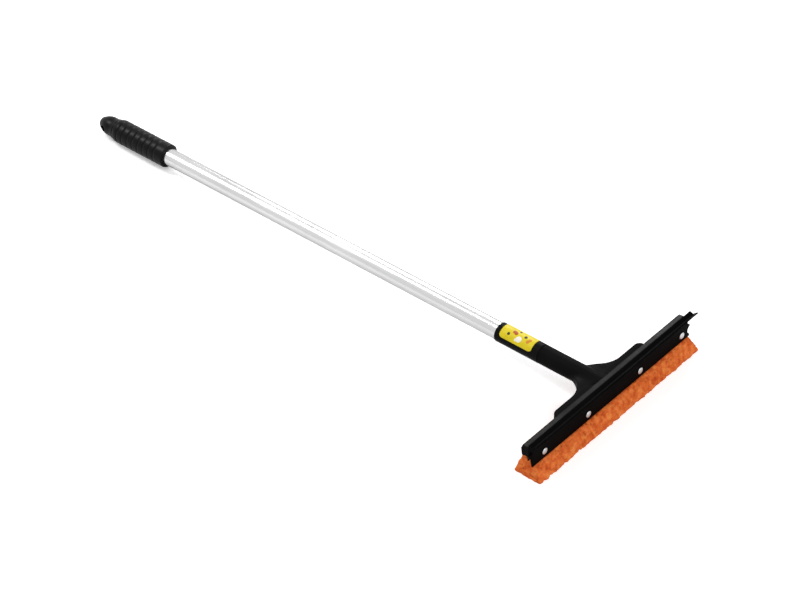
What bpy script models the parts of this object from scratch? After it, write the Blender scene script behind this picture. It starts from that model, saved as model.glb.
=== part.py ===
"""Telescopic window and car wash squeegee: a sponge and a rubber blade on a twist-lock pole.

Metres, +Z up. The origin is the centre of the sponge's flat sole, on the floor. +X runs along
the head, and the pole runs back along +Y, sloping down until its grip rests on the floor too.
Head outlines are given as (forward, up) from the bar's upper back edge.
"""

import math

import bmesh
import bpy

# Fits
fit_gap = 0.0003
overrun = 0.004
weld_distance = 0.000003
flat_angle = math.radians(0.05)
crisp_angle = math.radians(35)
bevel_angle = math.radians(40)

# Pole tubes
tube_diameter = 0.0194
tube_wall = 0.0008
inner_tube_diameter = 0.0154
inner_tube_wall = 0.0009
bare_tube_length = 0.468
inner_tube_end_room = 0.090
tube_hem_radius = 0.0003

# Collar over the outer tube's mouth, and the guide bush inside it
collar_diameter = 0.0214
collar_length = 0.056
collar_lip = 0.002
collar_edge_radius = 0.0006
bush_length = 0.022
bush_flange = 0.0015

# Grip
grip_diameter = 0.0269
grip_length = 0.1028
grip_tip_length = 0.0165
grip_tip_diameter = 0.0212
grip_nose_diameter = 0.0085
grip_nose_round = 0.0007
grip_tip_groove = 0.0016
grip_groove_depth = 0.0007
grip_rib_count = 9
grip_rib_pitch = 0.0080
grip_taper_length = 0.014
tip_curve = 0.8
grip_mouth_chamfer = 0.0012
grip_solid_length = 0.0245
hang_hole_diameter = 0.0074
hang_hole_from_tip = 0.0105
end_plug_length = 0.014
end_plug_flange = 0.0015

# Twist lock on the inner tube's end
cam_shank_length = 0.018
cam_flange = 0.002
cam_journal_diameter = 0.009
cam_journal_length = 0.012
cam_offset = 0.0003
cam_clearance = 0.0006
lock_ring_split = 0.003
lock_washer_diameter = 0.0145
lock_washer_thickness = 0.0012
lock_screw_head_diameter = 0.007
lock_screw_head_height = 0.0022
screw_crown_shares = ((0.7, 1.0), (1.0, 0.5))
lock_screw_diameter = 0.0034
lock_screw_length = 0.009

# Head moulding: neck, shoulders and bar
neck_reach = 0.074
neck_diameter = 0.0212
neck_edge_radius = 0.0006
neck_root_depth = 0.0020
socket_floor = 0.020
bar_length = 0.255
bar_depth = 0.0091
bar_height = 0.0138
bar_back_edge = 0.0075
bar_crest = 0.0063
bar_crest_start = 0.0020
bar_crest_rise = 0.0052
bar_hem_depth = 0.0018
bar_hem_inset = 0.0009
bar_hem_width = 0.0027
bar_hem_foot_shares = ((0.67, 1.0), (0.17, 0.67))
bar_hem_rise = 0.0004
bar_ceiling_fall = 0.0006
bar_front_corner = 0.0003
shoulder_half = 0.0715
shoulder_back = 0.007
shoulder_root_depth = 0.00225
shoulder_top = 0.0020
shoulder_bottom = 0.0090
shoulder_corner_radius = 0.007
shoulder_edge = 0.0014
web_fillet_radius = 0.030
web_cove_radius = 0.015
web_sink = 0.00005
web_fan_shares = ((0, 0.14, 0.29, 0.43, 0.57, 0.72, 0.86), (0, 0.17, 0.33, 0.5, 0.67, 0.84, 1))
web_edge_shares = (0, 0.293, 1)
web_inward_steps = 8
web_last_fade_share = 0.02
neck_underside_clear = 0.0006
neck_underside_run = 0.012
tongue_thickness = 0.002
tongue_drop = 0.0190
tongue_front = 0.0075
tongue_end_inset = 0.0050
tongue_root_drop = 0.0046
neck_screw_place = 0.050
neck_screw_diameter = 0.003
neck_screw_head_diameter = 0.0056
neck_screw_head_depth = 0.0014
neck_screw_bite = 0.0035
neck_screw_tip_room = 0.0010

# Front plate
plate_face = 0.0135
plate_top = 0.0008
plate_bottom = 0.0205
plate_left_inset = 0.0016
plate_right_overhang = 0.0042
plate_hook = 0.0005
plate_hook_height = 0.0012
plate_wall = 0.0017
plate_heel_top = 0.0050
plate_heel_bottom = 0.0072
plate_edge = 0.0011
plate_scallop_drop = 0.0120
plate_scallop_depth = 0.0033
plate_scallop_radius = 0.0060
plate_corner_drop = -0.0012
plate_corner_depth = 0.0040
plate_corner_radius = 0.0066

# Rubber blade
rubber_overhang = 0.0085
rubber_root_depth = 0.0024
rubber_crest_rise = 0.0021
rubber_notch_rise = 0.0072
rubber_notch_reach = 0.0004
lip_angle = math.radians(57)
lip_length = 0.0120
lip_edge_thickness = 0.0014

# Sponge
sole_height = 0.037
sponge_left_inset = 0.0035
sponge_left_slant = 0.0015
sponge_right_overhang = 0.0045
sponge_right_slant = 0.0050
sponge_sole_back = 0.0080
sponge_sole_front = 0.0232
sponge_bulge = 0.0010
sponge_waist_back = 0.0002
sponge_edge_radius = 0.0008
sponge_back_curve = 1.4
sponge_front_curve = 0.75

# Rivets
rivet_place_shares = (-0.4196, -0.1451, 0.1882, 0.4627)
rivet_drop = 0.0113
rivet_head_diameter = 0.0078
rivet_head_height = 0.0015
rivet_diameter = 0.0032
rivet_tail_diameter = 0.0046
rivet_tail_height = 0.0010
rivet_tail_chamfer = 0.0003
rivet_washer_diameter = 0.0060
rivet_washer_thickness = 0.0008

# Pole slope: the pole starts this far below the bar's top, and its grip's last full rib
# rests on the floor
axis_drop = 0.005

# Facet counts
round_steps = 48
small_steps = 24
arc_points = 7

# Where things lie along the pole, from the bar's back edge
collar_start = neck_reach + fit_gap
collar_end = collar_start + collar_length
bush_flange_start = collar_start + collar_lip + fit_gap
tube_start = bush_flange_start + bush_flange + fit_gap
grip_mouth = collar_end + bare_tube_length
grip_tip = grip_mouth + grip_length
grip_floor = grip_tip - grip_solid_length
tube_end = grip_floor - 2 * fit_gap - end_plug_flange
inner_tube_end = grip_tip - inner_tube_end_room
grip_touch = grip_tip - grip_tip_length - grip_taper_length
cam_flange_start = inner_tube_end + fit_gap
journal_start = cam_flange_start + cam_flange
journal_end = journal_start + cam_journal_length
half_bar = bar_length / 2
axis_height = sole_height - axis_drop
rivet_places = [share * bar_length for share in rivet_place_shares]

pole_slope = math.asin(axis_height / math.hypot(grip_touch, grip_diameter / 2)) - math.atan(
    grip_diameter / 2 / grip_touch
)


def clear_scene():
    for obj in list(bpy.data.objects):
        bpy.data.objects.remove(obj, do_unlink=True)
    for old in list(bpy.data.collections):
        bpy.data.collections.remove(old)


def make_collection(name):
    made = bpy.data.collections.new(name)
    bpy.context.scene.collection.children.link(made)
    return made


def make_material(name, colour, roughness, metallic=0.0):
    made = bpy.data.materials.new(name)
    made.use_nodes = True
    shader = made.node_tree.nodes["Principled BSDF"]
    shader.inputs["Base Color"].default_value = (*colour, 1)
    shader.inputs["Roughness"].default_value = roughness
    shader.inputs["Metallic"].default_value = metallic
    made.diffuse_color = (*colour, 1)
    return made


def place(obj, collection, parent=None, material=None):
    collection.objects.link(obj)
    if parent is not None:
        obj.parent = parent
    if material is not None:
        obj.data.materials.append(material)
    return obj


def shade_round(mesh):
    mesh.shade_smooth()
    mesh.set_sharp_from_angle(angle=crisp_angle)


def turned(name, profile, collection, parent, material=None, steps=round_steps, closed=True):
    """A solid turned about its local Z from (radius, height) points, down the outer side first."""
    mesh = bpy.data.meshes.new(name)
    points = [(radius, 0, height) for radius, height in profile]
    edges = [(i, i + 1) for i in range(len(points) - 1)]
    if closed:
        edges.append((len(points) - 1, 0))
    mesh.from_pydata(points, edges, [])
    obj = place(bpy.data.objects.new(name, mesh), collection, parent, material)
    screw = obj.modifiers.new("turn", "SCREW")
    screw.axis = "Z"
    screw.steps = screw.render_steps = steps
    screw.use_merge_vertices = True
    screw.merge_threshold = weld_distance
    screw.use_smooth_shade = True
    return obj


def ring_profile(outer, inner, low, high, edge=0.0):
    """A tube's closed profile, with its two outer edges rounded off by a chamfer if asked."""
    if not edge:
        return [(outer, high), (outer, low), (inner, low), (inner, high)]
    return [
        (outer - edge, high),
        (outer, high - edge),
        (outer, low + edge),
        (outer - edge, low),
        (inner, low),
        (inner, high),
    ]


def disc_profile(radius, low, high):
    return [(0, high), (radius, high), (radius, low), (0, low)]


def arc(centre, radius, start, end, count=arc_points):
    """Points on a circle arc, with angles in degrees."""
    turns = [math.radians(start + (end - start) * i / (count - 1)) for i in range(count)]
    return [
        (centre[0] + radius * math.cos(turn), centre[1] + radius * math.sin(turn))
        for turn in turns
    ]


def prism(name, outline, half_depth, collection, material=None):
    """A flat outline extruded both ways along its local Z, as a welded mesh."""
    curve = bpy.data.curves.new(name, "CURVE")
    curve.dimensions = "2D"
    curve.fill_mode = "BOTH"
    curve.extrude = half_depth
    spline = curve.splines.new("POLY")
    spline.points.add(len(outline) - 1)
    for point, (x, y) in zip(spline.points, outline):
        point.co = (x, y, 0, 1)
    spline.use_cyclic_u = True
    guide = bpy.data.objects.new(name + "_outline", curve)
    bpy.context.scene.collection.objects.link(guide)
    evaluated = guide.evaluated_get(bpy.context.evaluated_depsgraph_get())
    mesh = bpy.data.meshes.new_from_object(evaluated)
    bpy.data.objects.remove(guide, do_unlink=True)
    mesh.name = name
    shape = bmesh.new()
    shape.from_mesh(mesh)
    bmesh.ops.remove_doubles(shape, verts=shape.verts, dist=weld_distance)
    bmesh.ops.recalc_face_normals(shape, faces=shape.faces)
    shape.normal_update()
    flat = [edge for edge in shape.edges if edge.calc_face_angle() < flat_angle]
    bmesh.ops.dissolve_edges(shape, edges=flat, use_verts=False)
    shape.to_mesh(mesh)
    shape.free()
    mesh.materials.clear()
    shade_round(mesh)
    return place(bpy.data.objects.new(name, mesh), collection, None, material)


def along_bar(name, section, left, right, collection, material=None):
    """A (forward, up) section of the head extruded along X from left to right."""
    outline = [(bar_back_edge - forward, sole_height + up) for forward, up in section]
    obj = prism(name, outline, (right - left) / 2, collection, material)
    obj.rotation_euler = (math.radians(90), 0, math.radians(90))
    obj.location.x = (left + right) / 2
    return obj


def boolean(obj, other, operation):
    cut = obj.modifiers.new(f"{operation.lower()} {other.name}", "BOOLEAN")
    cut.operation = operation
    cut.object = other
    cut.solver = "EXACT"
    other.hide_render = True
    other.display_type = "WIRE"


def bevel(obj, width):
    rounded = obj.modifiers.new("edges", "BEVEL")
    rounded.width = width
    rounded.segments = 2
    rounded.limit_method = "ANGLE"
    rounded.angle_limit = bevel_angle


def pole_frame(collection):
    """Empty on the pole's axis at the bar's back edge: local Z runs along the pole to the grip."""
    frame = bpy.data.objects.new("pole_axis", None)
    collection.objects.link(frame)
    frame.location = (0, bar_back_edge, axis_height)
    frame.rotation_euler = (-math.pi / 2 - pole_slope, 0, 0)
    return frame


def bar_section():
    """The bar's cross-section, with a small hem along its back that hooks the sponge."""
    belly = bar_crest - bar_height
    hem_front = bar_hem_inset + bar_hem_width
    return [
        (0, 0),
        (bar_crest_start, bar_crest_rise),
        (bar_depth - 2 * bar_front_corner, bar_crest),
        (bar_depth, bar_crest - bar_front_corner),
        (bar_depth, belly),
        (hem_front, belly - bar_ceiling_fall),
        *[
            (bar_hem_inset + bar_hem_width * across, belly - bar_hem_depth * down)
            for across, down in bar_hem_foot_shares
        ],
        (bar_hem_inset, belly + bar_hem_rise),
    ]


def tongue_section(gap=0.0):
    """The tongue under the bar that the sponge and the rivets hang from."""
    back = tongue_front - tongue_thickness
    return [
        (tongue_front + gap, -tongue_root_drop),
        (tongue_front + gap, -tongue_drop - gap),
        (back - gap, -tongue_drop - gap),
        (back - gap, -tongue_root_drop),
    ]


def shoulder_outline():
    """The shoulders seen from above as (x, y)."""
    back = bar_back_edge + shoulder_back
    corner = shoulder_corner_radius
    right = [(shoulder_half, bar_back_edge - shoulder_root_depth)]
    right += arc((shoulder_half - corner, back - corner), corner, 0, 90)
    return right + [(-x, y) for x, y in reversed(right)]


def web_height(across, inward, level, fade):
    """Height of the web's face above the neck's axis, at this distance in from its hollow edge.

    A flat at the shoulders' level rises in a cove to the neck's round and falls in a rounded
    edge; all three fade out along the neck's side.
    """
    flat = level * fade
    cove = web_cove_radius * fade
    edge = shoulder_edge * fade
    round_radius = neck_diameter / 2 - web_sink
    cove_foot = math.sqrt((round_radius + cove) ** 2 - (flat + cove) ** 2)
    cove_head = cove_foot * round_radius / (round_radius + cove)
    if across < cove_head:
        height = math.sqrt(round_radius**2 - across**2)
    elif across < cove_foot:
        height = flat + cove - math.sqrt(cove**2 - (cove_foot - across) ** 2)
    else:
        height = flat
    if inward < edge:
        height += math.sqrt(edge**2 - (edge - inward) ** 2) - edge
    return height


def web_row(turn, corner_turn):
    """One row of the web's points as (x, y, top, bottom), from its hollow edge inward."""
    radius = web_fillet_radius
    centre = (neck_diameter / 2 - web_sink + radius, shoulder_back - web_sink + radius)
    if turn < corner_turn:
        reach = (centre[1] + shoulder_root_depth) / math.cos(turn) - radius
    else:
        reach = centre[0] / math.sin(turn) - radius
    faded = max(0, (turn - corner_turn) / (math.pi / 2 - corner_turn))
    fade = web_last_fade_share + (1 - web_last_fade_share) * (1 + math.cos(math.pi * faded)) / 2
    edge = shoulder_edge * fade
    inwards = [edge * share for share in web_edge_shares]
    step = (reach - edge) / web_inward_steps
    inwards += [edge + step * count for count in range(1, web_inward_steps + 1)]
    row = []
    for inward in inwards:
        across = max(0, centre[0] - (radius + inward) * math.sin(turn))
        along = centre[1] - (radius + inward) * math.cos(turn)
        axis = axis_height - along * math.tan(pole_slope)
        rise = sole_height + shoulder_top - web_sink - axis
        drop = axis - sole_height + shoulder_bottom - web_sink
        top = axis + web_height(across, inward, rise, fade)
        bottom = axis - web_height(across, inward, drop, fade)
        row.append((across, bar_back_edge + along, top, bottom))
    return row


def make_web(cutters):
    """Web between the neck and the shoulders, fanned about the centres of its two large fillets."""
    corner_turn = math.atan2(
        neck_diameter / 2 - web_sink + web_fillet_radius,
        shoulder_root_depth + shoulder_back - web_sink + web_fillet_radius,
    )
    before, after = web_fan_shares
    turns = [corner_turn * share for share in before]
    turns += [corner_turn + (math.pi / 2 - corner_turn) * share for share in after]
    rows = [web_row(turn, corner_turn) for turn in turns]
    shape = bmesh.new()
    for side in (1, -1):
        tops = [[shape.verts.new((side * x, y, top)) for x, y, top, _ in row] for row in rows]
        bottoms = [[shape.verts.new((side * x, y, low)) for x, y, _, low in row] for row in rows]
        for i in range(len(rows) - 1):
            for grid in (tops, bottoms):
                for j in range(len(grid[i]) - 1):
                    quad = (grid[i][j], grid[i + 1][j], grid[i + 1][j + 1], grid[i][j + 1])
                    shape.faces.new(quad)
            rims = (0, -1) if i < len(before) else (0,)
            for j in rims:
                quad = (tops[i][j], tops[i + 1][j], bottoms[i + 1][j], bottoms[i][j])
                shape.faces.new(quad)
        for i in (0, -1):
            for j in range(len(tops[i]) - 1):
                quad = (tops[i][j], tops[i][j + 1], bottoms[i][j + 1], bottoms[i][j])
                shape.faces.new(quad)
    bmesh.ops.remove_doubles(shape, verts=shape.verts, dist=weld_distance)
    bmesh.ops.recalc_face_normals(shape, faces=shape.faces)
    mesh = bpy.data.meshes.new("web")
    shape.to_mesh(mesh)
    shape.free()
    shade_round(mesh)
    return place(bpy.data.objects.new("web", mesh), cutters)


def make_head_body(part, cutters, pole, material):
    """Neck socket, shoulders, bar and tongue, moulded in one."""
    body = along_bar("head_body", bar_section(), -half_bar, half_bar, part, material)
    thickness = shoulder_top + shoulder_bottom
    shoulders = prism("shoulders", shoulder_outline(), thickness / 2, cutters)
    shoulders.location.z = sole_height + (shoulder_top - shoulder_bottom) / 2
    bevel(shoulders, shoulder_edge)
    half_tongue = half_bar - tongue_end_inset
    tongue = along_bar("tongue", tongue_section(), -half_tongue, half_tongue, cutters)
    radius = neck_diameter / 2
    neck_profile = [
        (0, neck_reach),
        (radius - neck_edge_radius, neck_reach),
        (radius, neck_reach - neck_edge_radius),
        (radius, -neck_root_depth),
        (0, -neck_root_depth),
    ]
    neck = turned("neck", neck_profile, cutters, pole, closed=False)
    boolean(body, tongue, "UNION")
    boolean(body, neck, "UNION")
    boolean(body, shoulders, "UNION")
    boolean(body, make_web(cutters), "UNION")
    boolean(body, make_underside_cutter(cutters), "DIFFERENCE")
    socket = disc_profile(
        inner_tube_diameter / 2 + fit_gap, socket_floor - fit_gap, neck_reach + overrun
    )
    boolean(body, cutters.objects["neck_screw_hole"], "DIFFERENCE")
    cut_rivet_holes(body, cutters)
    boolean(body, turned("socket_bore", socket, cutters, pole, closed=False), "DIFFERENCE")
    return body


def make_underside_cutter(cutters):
    """Clears the neck's underside from the sponge, in one hollow curve up to the bar's hem."""
    hollow_shares = (1, 0.8, 0.6, 0.4, 0.2, 0)
    level = -shoulder_bottom - neck_underside_clear
    low = -neck_diameter
    run = neck_underside_run
    curve = [
        (-shoulder_back - run * share, level + (low - level) * share**2)
        for share in hollow_shares
    ]
    front = bar_hem_inset + bar_hem_width + fit_gap
    section = [(front, low - overrun), (front, level)]
    section += list(reversed(curve)) + [(-shoulder_back - run, low - overrun)]
    return along_bar("underside_cutter", section, -shoulder_half, shoulder_half, cutters)


def make_neck_screw(part, cutters, pole, material):
    """Screw under the neck that holds the inner tube in its socket, and the cutter for its hole."""
    outer = neck_diameter / 2
    seat = outer - neck_screw_head_depth
    tip = seat - neck_screw_bite
    hole = [
        (0, outer + overrun),
        (neck_screw_head_diameter / 2 + fit_gap, outer + overrun),
        (neck_screw_head_diameter / 2 + fit_gap, seat - fit_gap),
        (neck_screw_diameter / 2 + fit_gap, seat - fit_gap),
        (neck_screw_diameter / 2 + fit_gap, tip - neck_screw_tip_room),
        (0, tip - neck_screw_tip_room),
    ]
    screw = [
        (0, outer),
        (neck_screw_head_diameter / 2 - neck_edge_radius, outer),
        (neck_screw_head_diameter / 2, outer - neck_edge_radius),
        (neck_screw_head_diameter / 2, seat),
        (neck_screw_diameter / 2, seat),
        (neck_screw_diameter / 2, tip),
        (0, tip),
    ]
    cutter = turned("neck_screw_hole", hole, cutters, pole, steps=small_steps, closed=False)
    piece = turned("neck_screw", screw, part, pole, material, small_steps, closed=False)
    for obj in (cutter, piece):
        obj.location.z = neck_screw_place
        obj.rotation_euler = (-math.pi / 2, 0, 0)
    return piece


def rivet_tail_end():
    """How far forward of the bar's back edge a rivet's closed end lies."""
    washer_back = tongue_front - tongue_thickness - fit_gap - rivet_washer_thickness
    return washer_back - fit_gap - rivet_tail_height


def rivet_profile():
    """A rivet's profile: domed head on the plate's face, shank, and its closed end."""
    dome_turns = [math.radians(turn) for turn in (0, 25, 50, 70, 90)]
    head_seat = plate_face + fit_gap
    tail_end = rivet_tail_end()
    tail_seat = tail_end + rivet_tail_height
    dome = [
        (rivet_head_diameter / 2 * math.sin(turn), head_seat + rivet_head_height * math.cos(turn))
        for turn in dome_turns
    ]
    shank = rivet_diameter / 2
    tail = rivet_tail_diameter / 2
    closed_end = [(tail, tail_end + rivet_tail_chamfer), (shank, tail_end), (0, tail_end)]
    return dome + [(shank, head_seat), (shank, tail_seat), (tail, tail_seat)] + closed_end


def make_rivets(part, cutters, rivet_material, washer_material):
    """Four rivets through plate, sponge and tongue, each closed over a washer on the tongue."""
    rivet = rivet_profile()
    washer_front = tongue_front - tongue_thickness - fit_gap
    shank = rivet_diameter / 2
    washer = ring_profile(
        rivet_washer_diameter / 2,
        shank + fit_gap,
        washer_front - rivet_washer_thickness,
        washer_front,
    )
    tail_seat = rivet_tail_end() + rivet_tail_height
    hole = disc_profile(shank + fit_gap, tail_seat, plate_face + overrun)
    for number, x in enumerate(rivet_places, 1):
        pieces = [
            turned(f"rivet_{number}", rivet, part, None, rivet_material, small_steps, False),
            turned(f"rivet_washer_{number}", washer, part, None, washer_material, small_steps),
            turned(f"rivet_hole_{number}", hole, cutters, None, steps=small_steps, closed=False),
        ]
        for piece in pieces:
            piece.location = (x, bar_back_edge, sole_height - rivet_drop)
            piece.rotation_euler = (math.radians(90), 0, 0)


def cut_rivet_holes(obj, cutters):
    for number in range(1, len(rivet_places) + 1):
        boolean(obj, cutters.objects[f"rivet_hole_{number}"], "DIFFERENCE")


def plate_inner(drop):
    """How far forward the plate's sloping inner face lies, this far below the bar's back edge."""
    heel = bar_depth + fit_gap
    toe = plate_face - plate_edge
    return heel + (toe - heel) * (drop - plate_heel_bottom) / (plate_bottom - plate_heel_bottom)


def plate_section():
    """Wedge plate: thick at its heel on the bar, thin at its lower edge, hooked over the rubber."""
    inner = plate_face - plate_wall
    heel = bar_depth + fit_gap
    corner = bar_front_corner
    return [
        (inner - plate_hook, plate_top),
        (plate_face - corner, plate_top),
        (plate_face, plate_top - corner),
        (plate_face, -plate_bottom + corner),
        (plate_face - corner, -plate_bottom),
        (plate_face - plate_edge, -plate_bottom),
        (heel, -plate_heel_bottom),
        (heel, -plate_heel_top),
        (inner, -plate_heel_top),
        (inner, plate_top - plate_hook_height),
        (inner - plate_hook, plate_top - plate_hook_height),
    ]


def make_front_plate(part, cutters, material):
    """Clamp plate over the rubber and the sponge, with its right end scalloped in two places."""
    left = plate_left_inset - half_bar
    right = half_bar + plate_right_overhang
    plate = along_bar("front_plate", plate_section(), left, right, part, material)
    cut_rivet_holes(plate, cutters)
    scallops = (
        ("plate_scallop", plate_scallop_drop, plate_scallop_depth, plate_scallop_radius),
        ("plate_corner", plate_corner_drop, plate_corner_depth, plate_corner_radius),
    )
    for name, drop, depth, radius in scallops:
        disc = disc_profile(radius, 0, plate_face + overrun)
        cutter = turned(name, disc, cutters, None, closed=False)
        cutter.location = (right + radius - depth, bar_back_edge, sole_height - drop)
        cutter.rotation_euler = (math.radians(90), 0, 0)
        boolean(plate, cutter, "DIFFERENCE")
    return plate


def rubber_section():
    """Rubber blade: a beaded root behind the plate, a sloping crown and a lip that points forward."""
    back = bar_depth + fit_gap
    bead = plate_face - plate_wall - fit_gap
    neck = bead - plate_hook
    bead_top = plate_top - plate_hook_height - fit_gap
    shelf = plate_top + fit_gap
    run = (math.cos(lip_angle), math.sin(lip_angle))
    edge = (plate_face + run[0] * lip_length, shelf + run[1] * lip_length)
    return [
        (back, -rubber_root_depth),
        (back, bar_crest + rubber_crest_rise),
        (plate_face + rubber_notch_reach, rubber_notch_rise),
        (edge[0] - run[1] * lip_edge_thickness, edge[1] + run[0] * lip_edge_thickness),
        edge,
        (plate_face, shelf),
        (neck, shelf),
        (neck, bead_top),
        (bead, bead_top),
        (bead, -rubber_root_depth),
    ]


def make_rubber(part, material):
    right = half_bar + rubber_overhang
    return along_bar("squeegee_rubber", rubber_section(), -half_bar, right, part, material)


def sponge_side(top, bottom, curve):
    """One swelling side of the sponge, from (forward, up) at its top towards its bottom."""
    side_shares = (0, 0.12, 0.25, 0.4, 0.55, 0.7, 0.85, 0.96)
    outward = math.copysign(sponge_bulge, bottom[0] - top[0])
    return [
        (
            top[0] + (bottom[0] - top[0]) * share**curve + outward * math.sin(math.pi * share),
            top[1] + (bottom[1] - top[1]) * share,
        )
        for share in side_shares
    ]


def sponge_section():
    """Sponge: pinched under the bar, flaring below the plate to a wide flat sole."""
    belly = bar_crest - bar_height
    hem_front = bar_hem_inset + bar_hem_width
    waist = belly - bar_hem_depth - fit_gap
    ceiling = belly - bar_ceiling_fall - fit_gap
    radius = sponge_edge_radius
    back_top = (sponge_waist_back, waist)
    back = sponge_side(back_top, (-sponge_sole_back, -sole_height), sponge_back_curve)
    lip = -plate_bottom - fit_gap
    front_top = (plate_face, lip)
    front = sponge_side(front_top, (sponge_sole_front, -sole_height), sponge_front_curve)
    leaf_top = plate_heel_bottom + 2 * fit_gap
    hem_foot = bar_hem_inset + bar_hem_width * bar_hem_foot_shares[0][0]
    return (
        [(hem_front + fit_gap, ceiling), (hem_foot + fit_gap, waist)]
        + back
        + [(-sponge_sole_back + radius, -sole_height), (sponge_sole_front - radius, -sole_height)]
        + front[::-1]
        + [
            (plate_inner(plate_bottom) - fit_gap, lip),
            (plate_inner(leaf_top) - fit_gap, -leaf_top),
            (plate_inner(leaf_top) - 2 * fit_gap, ceiling),
        ]
    )


def slot_section():
    """The slot in the sponge: the tongue with a gap round it, and room behind for the rivets."""
    front, low, back_low, back = tongue_section(fit_gap)
    room = rivet_tail_end() - fit_gap
    drop = rivet_drop + rivet_washer_diameter / 2 + 2 * fit_gap
    slope = tongue_front - tongue_thickness - room
    return [front, low, back_low, (back[0], -drop - slope), (room, -drop), (room, back[1])]


def slant_ends(mesh, left_slant, right_slant):
    """Leans a bar-long piece's two ends outward from its top down to the floor."""
    top = max(vertex.co.y for vertex in mesh.vertices)
    for vertex in mesh.vertices:
        share = vertex.co.y / top
        vertex.co.z += share * (left_slant if vertex.co.z < 0 else -right_slant)


def make_sponge(part, cutters, material):
    left = sponge_left_inset - half_bar
    right = half_bar + sponge_right_overhang
    sponge = along_bar("sponge", sponge_section(), left, right, part, material)
    slant_ends(sponge.data, sponge_left_slant, sponge_right_slant)
    half = half_bar - tongue_end_inset + fit_gap
    slot = along_bar("sponge_slot", slot_section(), -half, half, cutters)
    boolean(sponge, slot, "DIFFERENCE")
    cut_rivet_holes(sponge, cutters)
    return sponge


def make_inner_tube(part, cutters, pole, material):
    outer = inner_tube_diameter / 2
    profile = ring_profile(
        outer, outer - inner_tube_wall, socket_floor, inner_tube_end, tube_hem_radius
    )
    tube = turned("inner_tube", profile, part, pole, material)
    boolean(tube, cutters.objects["neck_screw_hole"], "DIFFERENCE")
    return tube


def make_twist_lock(part, cutters, pole, plastic, metal):
    """Cam plug in the inner tube's end, the split ring on its eccentric journal, washer and screw."""
    tube = inner_tube_diameter / 2
    shank = tube - inner_tube_wall - fit_gap
    journal = cam_journal_diameter / 2
    plug = [
        (0, journal_start),
        (tube, journal_start),
        (tube, cam_flange_start),
        (shank, cam_flange_start),
        (shank, cam_flange_start - cam_shank_length),
        (0, cam_flange_start - cam_shank_length),
    ]
    cam_plug = turned("cam_plug", plug, part, pole, plastic, closed=False)
    pin = disc_profile(journal, journal_start - cam_flange / 2, journal_end)
    pin_cutter = turned("cam_journal", pin, cutters, pole, closed=False)
    pin_cutter.location.x = cam_offset
    boolean(cam_plug, pin_cutter, "UNION")
    screw_seat = journal_end + 2 * fit_gap + lock_washer_thickness
    hole = disc_profile(
        lock_screw_diameter / 2 + fit_gap,
        screw_seat - lock_screw_length - fit_gap,
        journal_end + overrun,
    )
    screw_hole = turned("lock_screw_hole", hole, cutters, pole, steps=small_steps, closed=False)
    boolean(cam_plug, screw_hole, "DIFFERENCE")

    ring_outer = tube_diameter / 2 - tube_wall - fit_gap
    ring = disc_profile(ring_outer, journal_start + fit_gap, journal_end - fit_gap)
    lock_ring = turned("lock_ring", ring, part, pole, plastic, closed=False)
    bore = disc_profile(journal + cam_clearance, journal_start - overrun, journal_end + overrun)
    bore_cutter = turned("lock_ring_bore", bore, cutters, pole, closed=False)
    bore_cutter.location.x = cam_offset
    boolean(lock_ring, bore_cutter, "DIFFERENCE")
    half = lock_ring_split / 2
    slot = [(0, -half), (-2 * ring_outer, -half), (-2 * ring_outer, half), (0, half)]
    split = prism("lock_ring_slot", slot, cam_journal_length, cutters)
    split.parent = pole
    split.location.z = (journal_start + journal_end) / 2
    boolean(lock_ring, split, "DIFFERENCE")

    washer = ring_profile(
        lock_washer_diameter / 2,
        lock_screw_diameter / 2 + fit_gap,
        journal_end + fit_gap,
        screw_seat - fit_gap,
    )
    turned("lock_washer", washer, part, pole, metal, small_steps)
    head = lock_screw_head_diameter / 2
    screw = [
        (0, screw_seat + lock_screw_head_height),
        *[
            (head * out, screw_seat + lock_screw_head_height * rise)
            for out, rise in screw_crown_shares
        ],
        (head, screw_seat),
        (lock_screw_diameter / 2, screw_seat),
        (lock_screw_diameter / 2, screw_seat - lock_screw_length),
        (0, screw_seat - lock_screw_length),
    ]
    turned("lock_screw", screw, part, pole, metal, small_steps, closed=False)


def make_outer_tube(part, pole, material):
    outer = tube_diameter / 2
    profile = ring_profile(outer, outer - tube_wall, tube_start, tube_end, tube_hem_radius)
    return turned("outer_tube", profile, part, pole, material)


def make_collar(part, pole, material):
    """Sleeve over the outer tube's mouth, closed round the inner tube by a lip at the head's end."""
    outer = collar_diameter / 2
    bore = tube_diameter / 2 + fit_gap
    lip = inner_tube_diameter / 2 + fit_gap
    edge = collar_edge_radius
    profile = [
        (outer - edge / 2, collar_end),
        (outer, collar_end - edge),
        (outer, collar_start + edge),
        (outer - edge, collar_start),
        (lip, collar_start),
        (lip, collar_start + collar_lip),
        (bore, collar_start + collar_lip),
        (bore, collar_end),
    ]
    return turned("collar", profile, part, pole, material)


def make_guide_bush(part, pole, material):
    """Flanged bush in the outer tube's mouth that the inner tube slides through."""
    inner = inner_tube_diameter / 2 + fit_gap
    sleeve = tube_diameter / 2 - tube_wall - fit_gap
    flange_top = bush_flange_start + bush_flange
    profile = [
        (sleeve, bush_flange_start + bush_length),
        (sleeve, flange_top),
        (tube_diameter / 2, flange_top),
        (tube_diameter / 2, bush_flange_start),
        (inner, bush_flange_start),
        (inner, bush_flange_start + bush_length),
    ]
    return turned("guide_bush", profile, part, pole, material)


def make_end_plug(part, pole, material):
    """Plug in the outer tube's upper end, under the grip."""
    sleeve = tube_diameter / 2 - tube_wall - fit_gap
    flange_low = tube_end + fit_gap
    flange_high = flange_low + end_plug_flange
    profile = [
        (0, flange_high),
        (tube_diameter / 2, flange_high),
        (tube_diameter / 2, flange_low),
        (sleeve, flange_low),
        (sleeve, flange_high - end_plug_length),
        (0, flange_high - end_plug_length),
    ]
    return turned("end_plug", profile, part, pole, material, closed=False)


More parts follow.
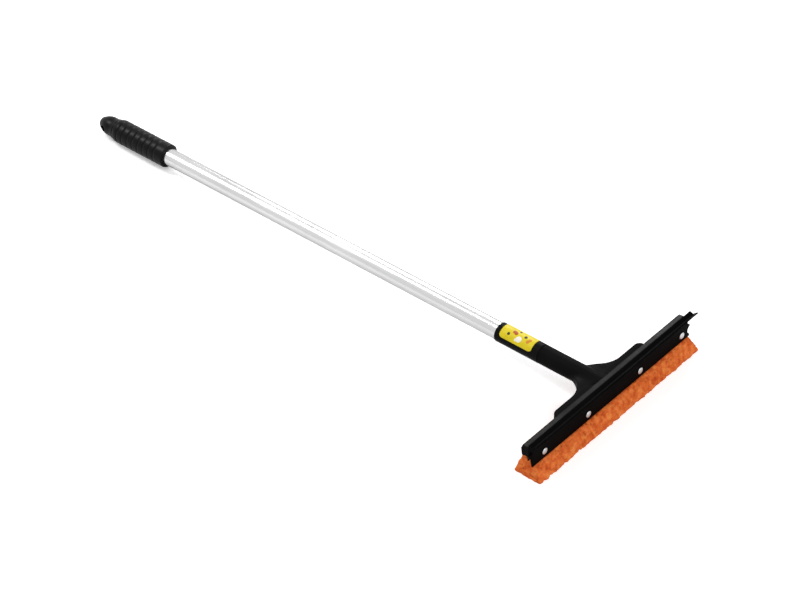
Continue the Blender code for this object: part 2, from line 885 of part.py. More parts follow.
def grip_profile():
    """Bullet tip, groove, ribs that swell to full size, and a smooth ring at the mouth."""
    tip_shares = (0, 0.08, 0.2, 0.35, 0.55, 0.78, 1)
    rib_shares = ((0, 1), (0.14, 0.25), (0.42, 0), (0.86, 0.2))
    full = grip_diameter / 2
    tip = grip_tip_diameter / 2
    nose = grip_nose_diameter / 2
    bullet = [(0, grip_tip)]
    for share in tip_shares:
        radius = nose + (tip - nose) * math.sin(share * math.pi / 2) ** tip_curve
        run = grip_nose_round + (grip_tip_length - grip_nose_round) * share
        bullet.append((radius, grip_tip - run))
    start = grip_tip - grip_tip_length - grip_tip_groove
    ribs = []
    for rib in range(grip_rib_count):
        for share, sunk in rib_shares:
            along = start - (rib + share) * grip_rib_pitch
            grown = min(1, (start - along) / grip_taper_length)
            radius = tip + (full - tip) * math.sin(grown * math.pi / 2)
            ribs.append((radius - grip_groove_depth * sunk, along))
    ring = start - grip_rib_count * grip_rib_pitch
    mouth = [
        (full - grip_groove_depth, ring),
        (full, ring - grip_tip_groove),
        (full, grip_mouth + grip_mouth_chamfer),
        (full - grip_mouth_chamfer, grip_mouth),
        (tube_diameter / 2 + fit_gap, grip_mouth),
        (tube_diameter / 2 + fit_gap, grip_floor),
        (0, grip_floor),
    ]
    return bullet + ribs + mouth


def make_grip(part, cutters, pole, material):
    grip = turned("grip", grip_profile(), part, pole, material, closed=False)
    half = grip_diameter / 2 + overrun
    hole = disc_profile(hang_hole_diameter / 2, -half, half)
    cutter = turned("hang_hole", hole, cutters, pole, steps=small_steps, closed=False)
    cutter.location.z = grip_tip - hang_hole_from_tip
    cutter.rotation_euler = (0, math.pi / 2, 0)
    boolean(grip, cutter, "DIFFERENCE")
    return grip


def main():
    clear_scene()
    part = make_collection("telescopic_squeegee")
    cutters = make_collection("cutters")
    black = make_material("black_plastic", (0.010, 0.010, 0.010), 0.45)
    grip_rubber = make_material("grip_rubber", (0.014, 0.014, 0.014), 0.55)
    blade_rubber = make_material("blade_rubber", (0.012, 0.012, 0.012), 0.6)
    foam = make_material("orange_foam", (0.62, 0.13, 0.024), 0.95)
    aluminium = make_material("satin_aluminium", (0.80, 0.80, 0.81), 0.32, 1.0)
    rivet_metal = make_material("rivet_aluminium", (0.75, 0.75, 0.76), 0.35, 1.0)
    steel = make_material("zinc_steel", (0.55, 0.55, 0.56), 0.4, 1.0)
    nylon = make_material("white_nylon", (0.72, 0.72, 0.69), 0.5)

    pole = pole_frame(part)
    make_rivets(part, cutters, rivet_metal, steel)
    make_neck_screw(part, cutters, pole, steel)
    make_head_body(part, cutters, pole, black)
    make_front_plate(part, cutters, black)
    make_rubber(part, blade_rubber)
    make_sponge(part, cutters, foam)
    make_inner_tube(part, cutters, pole, aluminium)
    make_twist_lock(part, cutters, pole, nylon, steel)
    make_outer_tube(part, pole, aluminium)
    make_collar(part, pole, black)
    make_guide_bush(part, pole, nylon)
    make_end_plug(part, pole, nylon)
    make_grip(part, cutters, pole, grip_rubber)


main()
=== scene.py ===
"""Looks of the telescopic car wash brush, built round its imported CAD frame."""

import math
import random

import bmesh
import bpy
from mathutils import Matrix, Vector, kdtree, noise
from mathutils.bvhtree import BVHTree


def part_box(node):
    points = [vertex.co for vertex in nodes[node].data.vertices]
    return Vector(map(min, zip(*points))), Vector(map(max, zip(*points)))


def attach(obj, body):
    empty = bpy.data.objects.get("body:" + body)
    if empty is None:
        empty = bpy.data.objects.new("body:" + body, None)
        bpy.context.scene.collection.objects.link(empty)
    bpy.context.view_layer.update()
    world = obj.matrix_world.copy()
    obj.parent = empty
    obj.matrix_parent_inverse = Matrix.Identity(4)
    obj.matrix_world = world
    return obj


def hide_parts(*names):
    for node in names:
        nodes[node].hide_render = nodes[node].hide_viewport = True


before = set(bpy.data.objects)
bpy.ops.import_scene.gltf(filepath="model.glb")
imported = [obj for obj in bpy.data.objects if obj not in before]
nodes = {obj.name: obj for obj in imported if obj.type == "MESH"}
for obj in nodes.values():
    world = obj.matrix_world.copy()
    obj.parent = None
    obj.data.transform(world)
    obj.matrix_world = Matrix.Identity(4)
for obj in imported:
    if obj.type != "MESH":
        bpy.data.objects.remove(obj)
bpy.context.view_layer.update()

# Camera, from the photograph's vanishing lines and the tool's own sizes
camera_azimuth = -49.526
camera_elevation = 41.056
camera_distance = 3.4976
camera_target = Vector((-0.03077, 0.24660, 0.030))
camera_lens = 151.91
camera_reach = 100.0
sensor_width = 36.0

# Lamps: name, aim, distance, azimuth and elevation in degrees, width, height and watts
tool_middle = Vector((0, camera_target.y, 0))
head_middle = Vector((0, 0, 0.04))
grip_middle = Vector((0, 0.62, 0.02))
lamps = (
    ("overhead", grip_middle, 2.2, 203, 52.5, 0.50, 0.85, 24.0),
    ("back_strip", head_middle, 1.0, 139.5, 28, 0.5, 0.3, 4.5),
    ("front_fill", tool_middle, 2.2, -5, 40, 1.6, 1.2, 22.0),
)

# World: full white where it is seen or mirrored, softer where it lights matt surfaces
white = (1, 1, 1, 1)
world_seen = 1.0
world_diffuse = 0.50

# In the looks below, a noise is (scale, detail, roughness), a bump is (strength, distance),
# and a stop is (place on the noise, value), or its place alone where the value comes later

# Floor, just under the foam's flat sole so that the two share no plane
floor_size = 30.0
floor_drop = 0.0001
floor_clouds = (1.5, 2.0, 0.5)
floor_stops = ((0.3, 0.93), (0.7, 0.96))
floor_roughness = 0.9
floor_specular = 0.1
floor_glow = 0.34

# Shading of the CAD pieces
weld_distance = 1e-6
edge_round = 0.00018
edge_segments = 2
crisp_angle = math.radians(40)
flat_weight = 60

# Moulded plastic and rubber
flow_clouds = (24.0, 4.0, 0.5)
flow_places = (0.35, 0.7)
scuff_marks = (60.0, 6.0, 0.65)
scuff_places = (0.3, 0.75)
scuff_polish = 0.06
scuff_dulling = 0.08
spark_grain = (1400.0, 2.0, 0.5)
spark_bump = (0.25, 0.0001)

# Metal
drawn_marks = (900.0, 3.0, 0.6)
drawn_bump = (0.12, 0.00005)
smudge_clouds = (14.0, 4.0, 0.5)
smudge_share = 0.35
smudge_places = (0.3, 0.7)
smudge_polish = 0.05
smudge_dulling = 0.07

# Moulded materials: darker tone, lighter tone, roughness and specular level
head_specular = 0.009
moulded_looks = {
    "head_plastic": (0.0045, 0.0060, 0.40, head_specular),
    "plate_plastic": (0.0014, 0.0022, 0.42, 0.007),
    "collar_plastic": (0.0050, 0.0070, 0.36, 0.022),
    "grip_rubber": (0.0008, 0.0014, 0.36, 0.115),
    "blade_rubber": (0.0013, 0.0022, 0.50, 0.010),
    "white_nylon": (0.66, 0.74, 0.45, 0.4),
}

# Metals: darker tone, lighter tone, roughness, tint at the rim, scale of the marks by axis
metal_looks = {
    "satin_aluminium": (0.60, 0.70, 0.20, 0.60, (1, 0.02, 1)),
    "rivet_aluminium": (0.50, 0.62, 0.38, 1.0, (1, 1, 1)),
    "zinc_steel": (0.42, 0.58, 0.38, 1.0, (1, 1, 1)),
}

# The CAD nodes that each material covers
rivet_numbers = (1, 2, 3, 4)
covered_nodes = {
    "head_plastic": ["head_body"],
    "plate_plastic": ["front_plate"],
    "collar_plastic": ["collar"],
    "blade_rubber": ["squeegee_rubber"],
    "white_nylon": ["cam_plug", "lock_ring", "guide_bush", "end_plug"],
    "satin_aluminium": ["outer_tube", "inner_tube"],
    "rivet_aluminium": [f"rivet_{i}" for i in rivet_numbers],
    "zinc_steel": [
        "neck_screw",
        "lock_washer",
        "lock_screw",
        *[f"rivet_washer_{i}" for i in rivet_numbers],
    ],
}

# The bar's upper facet, rubbed shinier than the moulding round it: its place is measured from
# the body's front and top, and its gloss is (share of the bar's length, share of the full gloss)
crest_inset = 0.0012
crest_width = 0.0053
crest_drop = 0.0015
crest_soft = 0.0009
crest_specular = 0.078
crest_gloss_shares = (
    (0.04, 0.56),
    (0.14, 0.62),
    (0.24, 0.28),
    (0.46, 0.38),
    (0.60, 0.52),
    (0.76, 0.66),
    (0.86, 1.0),
)

# Foam's body
foam_cell = 0.0006
foam_clearance = 0.0002
foam_swell = 0.0016
foam_left_swell = 0.0010
foam_right_swell = 0.0028
foam_end_reach = 0.008

# Foam's ragged skin
rag_depth = 0.0011
rag_scale = 170.0
rag_fine_scale = 391.0
rag_fine_share = 0.8
rag_top_share = 0.3
grain_depth = 0.00018
grain_scale = 420.0
grain_fine_scale = 900.0
grain_fine_share = 0.7

# Foam's open pits
pit_seed = 7
pit_count = 1300
pit_radius_least = 0.0005
pit_radius_most = 0.0019
pit_radius_power = 3
pit_depth_share = 0.45
pit_shade_gain = 1.6

# Foam's colour and fine cells
foam_patches = (165.0, 4.0, 0.6)
foam_stops = (
    (0.32, (0.48, 0.070, 0.015)),
    (0.50, (0.63, 0.132, 0.028)),
    (0.68, (0.76, 0.205, 0.054)),
)
foam_pale = (0.78, 0.28, 0.062)
foam_pale_patches = (120.0, 3.0, 0.5)
foam_pale_stops = ((0.55, 0.0), (0.72, 0.55))
# Painted shade: how much the foam's colour darkens with the depth of the pit under each point
foam_pit_shade_stops = ((0.15, 1.0), (0.9, 0.80))
foam_cell_scale = 900.0
foam_cell_bump = (0.45, 0.0005)
foam_fine_grain = (2600.0, 3.0, 0.5)
foam_fine_bump = (0.35, 0.0003)
foam_roughness = 0.95
foam_specular = 0.05

# Grip, measured from its tip
grip_nose_radius = 0.00425
grip_nose_depth = 0.0022
grip_waist_radius = 0.0108
grip_bullet_length = 0.0155
grip_bullet_curve = 0.9
grip_flare_start = 0.0185
grip_flare_length = 0.0140
grip_first_groove = 0.0261
grip_rib_pitch = 0.0080
grip_groove_count = 9
grip_groove_depth = 0.0008
grip_groove_power = 6.0
grip_mouth_round = 0.0013
grip_bore = 0.0100
grip_solid_length = 0.0245
grip_step = 0.0005
grip_sides = 96
hang_hole_radius = 0.0037
hang_hole_place = 0.0105
hang_hole_sides = 32
sideways = Matrix.Rotation(math.pi / 2, 4, "Y")

# Label on the collar
label_start = 0.006
label_length = 0.0415
label_corner = 0.0035
label_lift = 0.00006
label_thickness = 0.00012
label_low_angle = math.radians(-69)
label_high_angle = math.radians(63)
label_columns = 48
label_rows = 36
label_fade = (130.0, 4.0, 0.5)
label_stops = ((0.3, (0.61, 0.49, 0.010)), (0.7, (0.69, 0.55, 0.016)))
label_scuffs = (420.0, 6.0, 0.7)
label_scuff_stops = ((0.70, 0.0), (0.80, 0.35))
label_scuff_tone = (0.30, 0.25, 0.10)
label_scuff_bump = (0.08, 0.00005)
label_gloss = (90.0, 4.0, 0.5)
label_gloss_stops = ((0.3, 0.32), (0.7, 0.46))
label_specular = 0.18

# The label's plain round marks: each tone, with its marks as (along, across, radius)
mark_edge = 0.00012
label_marks = (
    ((0.80, 0.78, 0.70), ((0.0230, 0.0066, 0.0033), (0.0200, 0.0046, 0.0016))),
    ((0.38, 0.080, 0.012), ((0.0146, 0.0122, 0.0023), (0.0170, 0.0112, 0.0021))),
    ((0.56, 0.22, 0.016), ((0.0335, 0.0086, 0.0021), (0.0350, 0.0112, 0.0019))),
    (
        (0.030, 0.024, 0.008),
        ((0.0286, 0.0124, 0.0018), (0.0096, 0.0072, 0.0017), (0.0196, 0.0158, 0.0014)),
    ),
)

# Sockets of Blender's Mix node that carry its colours
mix_first, mix_second = 6, 7
mix_result = 2


class Shader:
    """A material under construction: adds nodes by type and links them in short calls."""

    def __init__(self, name):
        self.material = bpy.data.materials.new(name)
        self.material.use_nodes = True
        self.tree = self.material.node_tree
        self.main = self.tree.nodes["Principled BSDF"]
        self.place = self.tree.nodes.new("ShaderNodeTexCoord").outputs["Object"]

    def add(self, kind, **settings):
        node = self.tree.nodes.new("ShaderNode" + kind)
        for key, value in settings.items():
            setattr(node, key, value)
        return node

    def link(self, source, target):
        self.tree.links.new(source, target)

    def stretched(self, scale):
        """Object coordinates scaled along each axis, to draw a texture out along one."""
        mapping = self.add("Mapping")
        mapping.inputs["Scale"].default_value = scale
        self.link(self.place, mapping.inputs["Vector"])
        return mapping.outputs["Vector"]

    def noise(self, look, place=None):
        made = self.add("TexNoise")
        for name, value in zip(("Scale", "Detail", "Roughness"), look):
            made.inputs[name].default_value = value
        self.link(place or self.place, made.inputs["Vector"])
        return made.outputs["Fac"]

    def ramp(self, source, stops):
        """A colour or grey ramp from (place, value) stops."""
        stops = list(stops)
        made = self.add("ValToRGB")
        elements = made.color_ramp.elements
        while len(elements) < len(stops):
            elements.new(1.0)
        for element, (place, value) in zip(elements, stops):
            element.position = place
            element.color = (*value, 1) if isinstance(value, tuple) else (value, value, value, 1)
        self.link(source, made.inputs["Fac"])
        return made.outputs["Color"]

    def between(self, source, start, end, low=0.0, high=1.0):
        """A value that goes from low to high while its source goes from start to end."""
        made = self.add("MapRange")
        limits = {"From Min": start, "From Max": end, "To Min": low, "To Max": high}
        for name, value in limits.items():
            made.inputs[name].default_value = value
        self.link(source, made.inputs["Value"])
        return made.outputs["Result"]

    def product(self, one, other):
        made = self.add("Math", operation="MULTIPLY")
        self.link(one, made.inputs[0])
        self.link(other, made.inputs[1])
        return made.outputs[0]

    def mix(self, factor, one, other, mode="MIX"):
        made = self.add("Mix", data_type="RGBA", blend_type=mode)
        if isinstance(factor, float):
            made.inputs["Factor"].default_value = factor
        else:
            self.link(factor, made.inputs["Factor"])
        for socket, value in ((made.inputs[mix_first], one), (made.inputs[mix_second], other)):
            if isinstance(value, tuple):
                socket.default_value = (*value, 1)
            else:
                self.link(value, socket)
        return made.outputs[mix_result]

    def bump(self, height, look, under=None):
        made = self.add("Bump")
        for name, value in zip(("Strength", "Distance"), look):
            made.inputs[name].default_value = value
        self.link(height, made.inputs["Height"])
        if under is not None:
            self.link(under, made.inputs["Normal"])
        return made.outputs["Normal"]

    def finish(self, colour=None, roughness=None, normal=None, **plain):
        """Links what varies to the main shader, and sets its plain values by their names."""
        for name, source in (("Base Color", colour), ("Roughness", roughness), ("Normal", normal)):
            if source is not None:
                self.link(source, self.main.inputs[name])
        for name, value in plain.items():
            self.main.inputs[name.replace("_", " ")].default_value = value
        return self


def clamp(value):
    """The value, held between 0 and 1."""
    return min(1.0, max(0.0, value))


def aim_at(thing, target, distance, azimuth, elevation):
    """Adds a camera or lamp to the scene, this far from its target and turned to face it."""
    turn, rise = math.radians(azimuth), math.radians(elevation)
    flat = math.cos(rise)
    back = Vector((math.sin(turn) * flat, -math.cos(turn) * flat, math.sin(rise)))
    thing.location = target + back * distance
    thing.rotation_euler = (-back).to_track_quat("-Z", "Y").to_euler()
    bpy.context.scene.collection.objects.link(thing)


def make_camera():
    data = bpy.data.cameras.new("camera")
    data.lens = camera_lens
    data.sensor_width = sensor_width
    data.clip_end = camera_reach
    camera = bpy.data.objects.new("camera", data)
    aim_at(camera, camera_target, camera_distance, camera_azimuth, camera_elevation)
    bpy.context.scene.camera = camera


def set_colour():
    """Plain colours, as a photograph shows them."""
    bpy.context.scene.view_settings.view_transform = "Standard"


def either(tree, one, other):
    """A mask that is 1 where one or the other mask is."""
    node = tree.nodes.new("ShaderNodeMath")
    node.operation = "MAXIMUM"
    tree.links.new(one, node.inputs[0])
    tree.links.new(other, node.inputs[1])
    return node.outputs[0]


def make_world():
    """An even white studio, at full strength to the camera and in reflections."""
    world = bpy.data.worlds.new("studio")
    bpy.context.scene.world = world
    world.use_nodes = True
    tree = world.node_tree
    tree.nodes.clear()
    rays = tree.nodes.new("ShaderNodeLightPath").outputs
    seen = either(tree, rays["Is Camera Ray"], rays["Is Glossy Ray"])
    seen = either(tree, seen, rays["Is Transmission Ray"])
    mix = tree.nodes.new("ShaderNodeMixShader")
    tree.links.new(seen, mix.inputs["Fac"])
    for socket, strength in ((mix.inputs[1], world_diffuse), (mix.inputs[2], world_seen)):
        background = tree.nodes.new("ShaderNodeBackground")
        background.inputs["Color"].default_value = white
        background.inputs["Strength"].default_value = strength
        tree.links.new(background.outputs[0], socket)
    out = tree.nodes.new("ShaderNodeOutputWorld")
    tree.links.new(mix.outputs[0], out.inputs["Surface"])


def add_lamp(name, aim, distance, azimuth, elevation, width, height, power):
    """A soft lamp that faces a point of the tool from this far away."""
    data = bpy.data.lights.new(name, "AREA")
    data.shape = "RECTANGLE"
    data.size = width
    data.size_y = height
    data.energy = power
    aim_at(bpy.data.objects.new(name, data), aim, distance, azimuth, elevation)


def floor_material():
    """A pale matt floor that glows a little to the camera alone, so that it stays white."""
    made = Shader("pale_floor")
    tone = made.ramp(made.noise(floor_clouds), floor_stops)
    made.finish(tone, Roughness=floor_roughness, Specular_IOR_Level=floor_specular)
    glow = made.add("Emission")
    glow.inputs["Strength"].default_value = floor_glow
    path = made.add("LightPath")
    both = made.add("AddShader")
    pick = made.add("MixShader")
    made.link(path.outputs["Is Camera Ray"], pick.inputs["Fac"])
    made.link(made.main.outputs[0], both.inputs[0])
    made.link(glow.outputs[0], both.inputs[1])
    made.link(made.main.outputs[0], pick.inputs[1])
    made.link(both.outputs[0], pick.inputs[2])
    made.link(pick.outputs[0], made.tree.nodes["Material Output"].inputs["Surface"])
    return made.material


def make_floor():
    mesh = bpy.data.meshes.new("floor")
    shape = bmesh.new()
    bmesh.ops.create_grid(shape, x_segments=1, y_segments=1, size=floor_size / 2)
    shape.to_mesh(mesh)
    shape.free()
    floor = bpy.data.objects.new("floor", mesh)
    floor.location.z = -floor_drop
    bpy.context.scene.collection.objects.link(floor)
    mesh.materials.append(floor_material())


def smooth_nodes():
    """Round CAD pieces shade smooth, with their crisp edges kept."""
    for node in nodes.values():
        node.data.shade_smooth()
        weld = node.modifiers.new("weld", "WELD")
        weld.merge_threshold = weld_distance
        edges = node.modifiers.new("edges", "BEVEL")
        edges.width = edge_round
        edges.segments = edge_segments
        edges.limit_method = "ANGLE"
        edges.angle_limit = crisp_angle
        edges.harden_normals = True
        flats = node.modifiers.new("flats", "WEIGHTED_NORMAL")
        flats.keep_sharp = True
        flats.weight = flat_weight


def moulded_plastic(name, dark, light, roughness, specular):
    """Moulded plastic or rubber: fine spark-eroded grain, faint flow clouds and scuffs."""
    made = Shader(name)
    colour = made.ramp(made.noise(flow_clouds), zip(flow_places, (dark, light)))
    worn = (roughness - scuff_polish, roughness + scuff_dulling)
    rough = made.ramp(made.noise(scuff_marks), zip(scuff_places, worn))
    normal = made.bump(made.noise(spark_grain), spark_bump)
    return made.finish(colour, rough, normal, Specular_IOR_Level=specular)


def satin_metal(name, dark, light, roughness, rim, stretch):
    """Metal with handling smudges and fine marks, which the stretch draws out along one axis."""
    made = Shader(name)
    drawn = made.noise(drawn_marks, made.stretched(stretch))
    smudges = made.noise(smudge_clouds)
    colour = made.ramp(made.mix(smudge_share, drawn, smudges), zip(smudge_places, (dark, light)))
    worn = (roughness - smudge_polish, roughness + smudge_dulling)
    rough = made.ramp(smudges, zip(smudge_places, worn))
    normal = made.bump(drawn, drawn_bump)
    return made.finish(colour, rough, normal, Metallic=1.0, Specular_Tint=(rim, rim, rim, 1))


def polish_crest(made):
    """Rubs the bar's upper facet shinier than the moulding round it."""
    low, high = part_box("head_body")
    front = low.y + crest_inset
    back = front + crest_width
    foot = high.z - crest_drop
    parts = made.add("SeparateXYZ")
    made.link(made.place, parts.inputs["Vector"])
    along, across, up = [parts.outputs[axis] for axis in "XYZ"]
    facet = made.product(
        made.between(across, front - crest_soft, front + crest_soft),
        made.between(across, back + crest_soft, back - crest_soft),
    )
    facet = made.product(facet, made.between(up, foot - crest_soft, foot + crest_soft))
    rubbed = made.ramp(made.between(along, low.x, high.x), crest_gloss_shares)
    gloss = made.between(made.product(facet, rubbed), 0.0, 1.0, head_specular, crest_specular)
    made.link(gloss, made.main.inputs["Specular IOR Level"])


def paint(material, names):
    """Gives these CAD nodes one material."""
    for name in names:
        slots = nodes[name].data.materials
        slots.clear()
        slots.append(material)


def make_materials():
    """The plastics, rubbers and metals, each put on the CAD nodes that it covers."""
    made = {name: moulded_plastic(name, *look) for name, look in moulded_looks.items()}
    made.update({name: satin_metal(name, *look) for name, look in metal_looks.items()})
    polish_crest(made["head_plastic"])
    for name, covered in covered_nodes.items():
        paint(made[name].material, covered)
    return made


def apply_modifiers(piece):
    """Turns a piece's modifiers into its own mesh."""
    bpy.context.view_layer.update()
    evaluated = piece.evaluated_get(bpy.context.evaluated_depsgraph_get())
    mesh = bpy.data.meshes.new_from_object(evaluated)
    piece.modifiers.clear()
    piece.data = mesh
    mesh.materials.clear()


def foam_material():
    """Open-cell foam: orange in soft patches, paler in some, with painted shade that darkens its
    pits.
    """
    made = Shader("orange_foam")
    cells = made.add("TexVoronoi", feature="F1")
    cells.inputs["Scale"].default_value = foam_cell_scale
    made.link(made.place, cells.inputs["Vector"])
    tone = made.ramp(made.noise(foam_patches), foam_stops)
    pale = made.ramp(made.noise(foam_pale_patches), foam_pale_stops)
    tone = made.mix(pale, tone, foam_pale)
    # Painted shade: the colour is darkened by the depth of the pit under each point
    depth = made.add("Attribute", attribute_name="pit")
    painted_pit_shade = made.ramp(depth.outputs["Fac"], foam_pit_shade_stops)
    colour = made.mix(1.0, tone, painted_pit_shade, "MULTIPLY")
    fine = made.bump(made.noise(foam_fine_grain), foam_fine_bump)
    normal = made.bump(cells.outputs["Distance"], foam_cell_bump, fine)
    return made.finish(
        colour, normal=normal, Roughness=foam_roughness, Specular_IOR_Level=foam_specular
    ).material


def make_foam():
    """The sponge as open-cell foam: the CAD sponge remeshed fine, swollen, ragged and pitted."""
    foam = bpy.data.objects.new("foam_sponge", nodes["sponge"].data.copy())
    bpy.context.scene.collection.objects.link(foam)
    remesh = foam.modifiers.new("cells", "REMESH")
    remesh.mode = "VOXEL"
    remesh.voxel_size = foam_cell
    apply_modifiers(foam)
    foam.data.materials.append(foam_material())
    swell_foam(foam.data)
    pit_foam(foam.data)
    foam.data.shade_smooth()
    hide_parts("sponge")
    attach(foam, "head")


def neighbours_tree(*names):
    """One search tree of the hard pieces that the foam has to stay clear of."""
    points, faces = [], []
    for name in names:
        mesh = nodes[name].data
        base = len(points)
        points += [vertex.co.copy() for vertex in mesh.vertices]
        faces += [[base + i for i in face.vertices] for face in mesh.polygons]
    return BVHTree.FromPolygons(points, faces)


def swell_foam(mesh):
    """Swells the free skin: fuller at both ends and along the sole's ragged edges."""
    hard = neighbours_tree("head_body", "front_plate")
    low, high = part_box("sponge")
    centre = (low + high) / 2
    half_length = (high.x - low.x) / 2
    normals = [vertex.normal.copy() for vertex in mesh.vertices]
    for vertex, normal in zip(mesh.vertices, normals):
        start = vertex.co.copy()
        _, _, _, gap = hard.find_nearest(start)
        depth = 1 - clamp((start.z - low.z) / (high.z - low.z))
        rag = noise.noise(start * rag_scale) + rag_fine_share * noise.noise(start * rag_fine_scale)
        push = foam_swell * depth + rag_depth * (rag_top_share + (1 - rag_top_share) * depth) * rag
        end = clamp((abs(start.x - centre.x) - half_length + foam_end_reach) / foam_end_reach)
        vertex.co = start + normal * min(push, max(0, gap - foam_clearance))
        vertex.co.x += (foam_right_swell if start.x > 0 else -foam_left_swell) * end * end * depth
        vertex.co.z = max(vertex.co.z, low.z)


def draw_pits(places):
    """Pits at random places of the skin, many small and few large, as (centre, radius)."""
    draw = random.Random(pit_seed)
    spread = pit_radius_most - pit_radius_least
    pits = []
    for _ in range(pit_count):
        radius = pit_radius_least + spread * draw.random() ** pit_radius_power
        pits.append((places[draw.randrange(len(places))], radius))
    return pits


def pits_tree(pits):
    """A search tree of the pits' centres."""
    tree = kdtree.KDTree(len(pits))
    for i, (centre, _) in enumerate(pits):
        tree.insert(centre, i)
    tree.balance()
    return tree


def sunk_depth(place, pits, tree):
    """How deep the deepest of the pits over this place sinks it."""
    sunk = 0.0
    for _, index, distance in tree.find_range(place, pit_radius_most):
        radius = pits[index][1]
        if distance < radius:
            sunk = max(sunk, pit_depth_share * radius * (1 - (distance / radius) ** 2))
    return sunk


def pit_foam(mesh):
    """Sinks round open pits into the skin, of many sizes, and notes how deep each point lies, for
    the painted shade in the pits.
    """
    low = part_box("sponge")[0].z
    starts = [vertex.co.copy() for vertex in mesh.vertices]
    normals = [vertex.normal.copy() for vertex in mesh.vertices]
    pits = draw_pits(starts)
    tree = pits_tree(pits)
    depths = []
    for vertex, start, normal in zip(mesh.vertices, starts, normals):
        sunk = sunk_depth(start, pits, tree)
        grain = noise.noise(start * grain_scale)
        grain += grain_fine_share * noise.noise(start * grain_fine_scale)
        vertex.co = start + normal * (grain_depth * grain - sunk)
        vertex.co.z = max(vertex.co.z, low)
        depths.append(clamp(sunk / (pit_depth_share * pit_radius_most) * pit_shade_gain))
    pit = mesh.attributes.new("pit", "FLOAT", "POINT")
    pit.data.foreach_set("value", depths)


def pole_frame():
    """The pole's own axes and the collar's radius, from the frame.

    The origin is at the collar's far end, with Z towards the grip and X along the head.
    """
    corners = [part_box(name) for name in ("collar", "outer_tube")]
    near, far = [(low + high) / 2 for low, high in corners]
    along = (far - near).normalized()
    across = along.cross(Vector((1, 0, 0))).normalized()
    low, high = corners[0]
    radius = (high.x - low.x) / 2
    half_length = (high.y - low.y) / 2 / along.y - radius * abs(along.z)
    matrix = Matrix((across.cross(along), across, along)).transposed().to_4x4()
    matrix.translation = near + along * half_length
    return matrix, radius


def ring(shape, radius, z, sides):
    """A ring of points round the Z axis, or one point on it as often as the ring has sides."""
    if radius == 0:
        return [shape.verts.new((0, 0, z))] * sides
    turns = [2 * math.pi * i / sides for i in range(sides)]
    return [shape.verts.new((radius * math.cos(turn), radius * math.sin(turn), z)) for turn in turns]


def turned(name, profile, matrix, sides):
    """A closed solid of revolution from (radius, z) points, first and last on the axis."""
    shape = bmesh.new()
    rings = [ring(shape, radius, z, sides) for radius, z in profile]
    for one, other in zip(rings, rings[1:]):
        for i in range(sides):
            j = (i + 1) % sides
            corners = dict.fromkeys((one[i], one[j], other[j], other[i]))
            shape.faces.new(list(corners))
    bmesh.ops.recalc_face_normals(shape, faces=shape.faces)
    mesh = bpy.data.meshes.new(name)
    shape.to_mesh(mesh)
    shape.free()
    mesh.transform(matrix)
    made = bpy.data.objects.new(name, mesh)
    bpy.context.scene.collection.objects.link(made)
    return made


def bullet_radius(depth, full):
    """The grip's radius this far in from its tip, before its grooves are cut."""
    nose = 1 - clamp(depth / grip_nose_depth)
    bullet = math.sin(clamp(depth / grip_bullet_length) * math.pi / 2) ** grip_bullet_curve
    flare = clamp((depth - grip_flare_start) / grip_flare_length)
    radius = grip_nose_radius * math.sqrt(1 - nose**2)
    radius += (grip_waist_radius - grip_nose_radius) * bullet
    return radius + (full - grip_waist_radius) * (1 - math.cos(flare * math.pi)) / 2


def groove_cut(depth):
    """How deep the soft grooves between the ribs cut in, this far from the tip."""
    along = (depth - grip_first_groove) / grip_rib_pitch
    if not 0 <= round(along) < grip_groove_count:
        return 0.0
    away = abs(2 * (along - math.floor(along)) - 1)
    return grip_groove_depth * away**grip_groove_power


def mouth_cut(over):
    """How far the rounded mouth draws in, this far into its rounding."""
    if over <= 0:
        return 0.0
    return grip_mouth_round - math.sqrt(max(0.0, grip_mouth_round**2 - over**2))


def grip_profile(tip, length, full):
    """The grip's outline from its tip to its mouth, and back along its bore."""
    mouth, seat = tip - length, tip - grip_solid_length
    rows = round(length / grip_step)
    profile = [(0, tip)]
    for row in range(1, rows + 1):
        depth = length * row / rows
        cuts = groove_cut(depth) + mouth_cut(depth - (length - grip_mouth_round))
        profile.append((bullet_radius(depth, full) - cuts, tip - depth))
    return profile + [(grip_bore, mouth), (grip_bore, seat), (0, seat)]


def cut_hang_hole(grip, centre, reach):
    """Cuts the round hanging hole from one side of the grip to the other."""
    outline = [(0, reach), (hang_hole_radius, reach), (hang_hole_radius, -reach), (0, -reach)]
    hole = turned("hole", outline, centre @ sideways, hang_hole_sides)
    cut = grip.modifiers.new("hang_hole", "BOOLEAN")
    cut.operation = "DIFFERENCE"
    cut.solver = "EXACT"
    cut.object = hole
    apply_modifiers(grip)
    bpy.data.objects.remove(hole, do_unlink=True)


def make_grip(pole, material):
    """The rubber grip with a smooth bullet tip and soft ribs, in place of its plainer solid."""
    inward = pole.inverted()
    points = [inward @ vertex.co for vertex in nodes["grip"].data.vertices]
    tip = max(point.z for point in points)
    length = tip - min(point.z for point in points)
    full = max(math.hypot(point.x, point.y) for point in points)
    grip = turned("soft_grip", grip_profile(tip, length, full), pole, grip_sides)
    cut_hang_hole(grip, pole @ Matrix.Translation((0, 0, tip - hang_hole_place)), full)
    grip.data.shade_smooth()
    grip.data.set_sharp_from_angle(angle=crisp_angle)
    grip.data.materials.append(material)
    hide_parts("grip")
    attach(grip, "handle")


def round_mark(made, place, along, across, radius):
    """A mask that is 1 inside a round mark on the flat label."""
    away = made.add("VectorMath", operation="DISTANCE")
    made.link(place, away.inputs[0])
    away.inputs[1].default_value = (along, across, 0)
    return made.between(away.outputs["Value"], radius - mark_edge, radius + mark_edge, 1.0, 0.0)


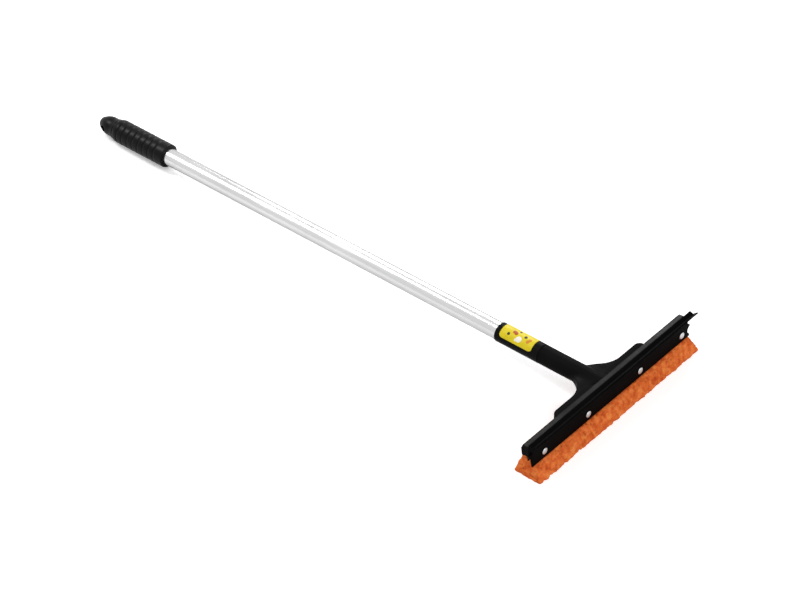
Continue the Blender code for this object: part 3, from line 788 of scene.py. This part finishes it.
def label_material():
    """Yellow vinyl with a plain scatter of round marks."""
    made = Shader("yellow_label")
    place = made.add("UVMap", uv_map="label").outputs["UV"]
    colour = made.ramp(made.noise(label_fade), label_stops)
    for tone, spots in label_marks:
        for spot in spots:
            colour = made.mix(round_mark(made, place, *spot), colour, tone)
    scuffs = made.noise(label_scuffs)
    colour = made.mix(made.ramp(scuffs, label_scuff_stops), colour, label_scuff_tone)
    rough = made.ramp(made.noise(label_gloss), label_gloss_stops)
    normal = made.bump(scuffs, label_scuff_bump)
    return made.finish(colour, rough, normal, Specular_IOR_Level=label_specular).material


def corner_cut(edge):
    """How far a rounded corner draws the label's end in, this far from its side."""
    if edge >= label_corner:
        return 0.0
    return label_corner - math.sqrt(label_corner**2 - (label_corner - edge) ** 2)


def label_row(shape, radius, across, width):
    """A row of points along the collar, each with its place on the flat label."""
    cut = corner_cut(min(across, width - across))
    turn = label_low_angle + across / radius
    row = []
    for column in range(label_columns + 1):
        along = cut + (label_length - 2 * cut) * column / label_columns
        spot = (radius * math.sin(turn), -radius * math.cos(turn), -label_start - along)
        row.append((shape.verts.new(spot), (along, across)))
    return row


def turn_outward(shape, vertex):
    """Turns an open skin's faces over if this point of it looks towards the pole's axis."""
    if vertex.normal.dot(Vector((vertex.co.x, vertex.co.y, 0))) < 0:
        bmesh.ops.reverse_faces(shape, faces=shape.faces)


def label_mesh(radius):
    """The label's skin, bent round the collar, with its flat layout as a UV map."""
    shape = bmesh.new()
    uv = shape.loops.layers.uv.new("label")
    width = radius * (label_high_angle - label_low_angle)
    grid = [label_row(shape, radius, width * i / label_rows, width) for i in range(label_rows + 1)]
    for one, other in zip(grid, grid[1:]):
        for i in range(label_columns):
            corners = (one[i], one[i + 1], other[i + 1], other[i])
            shape.faces.new([vertex for vertex, _ in corners])
    bmesh.ops.recalc_face_normals(shape, faces=shape.faces)
    places = {vertex: place for row in grid for vertex, place in row}
    for face in shape.faces:
        face.smooth = True
        for loop in face.loops:
            loop[uv].uv = places[loop.vert]
    turn_outward(shape, grid[label_rows // 2][label_columns // 2][0])
    mesh = bpy.data.meshes.new("collar_label")
    shape.to_mesh(mesh)
    shape.free()
    return mesh


def make_label(pole, collar_radius):
    """A label wrapped over the collar's upper side, with rounded corners."""
    label = bpy.data.objects.new("collar_label", label_mesh(collar_radius + label_lift))
    label.matrix_world = pole
    bpy.context.scene.collection.objects.link(label)
    skin = label.modifiers.new("vinyl", "SOLIDIFY")
    skin.thickness = label_thickness
    skin.offset = 1
    label.data.materials.append(label_material())
    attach(label, "handle")


make_camera()
set_colour()
make_world()
for lamp in lamps:
    add_lamp(*lamp)
make_floor()
smooth_nodes()
shaders = make_materials()
pole, collar_radius = pole_frame()
make_grip(pole, shaders["grip_rubber"].material)
make_foam()
make_label(pole, collar_radius)
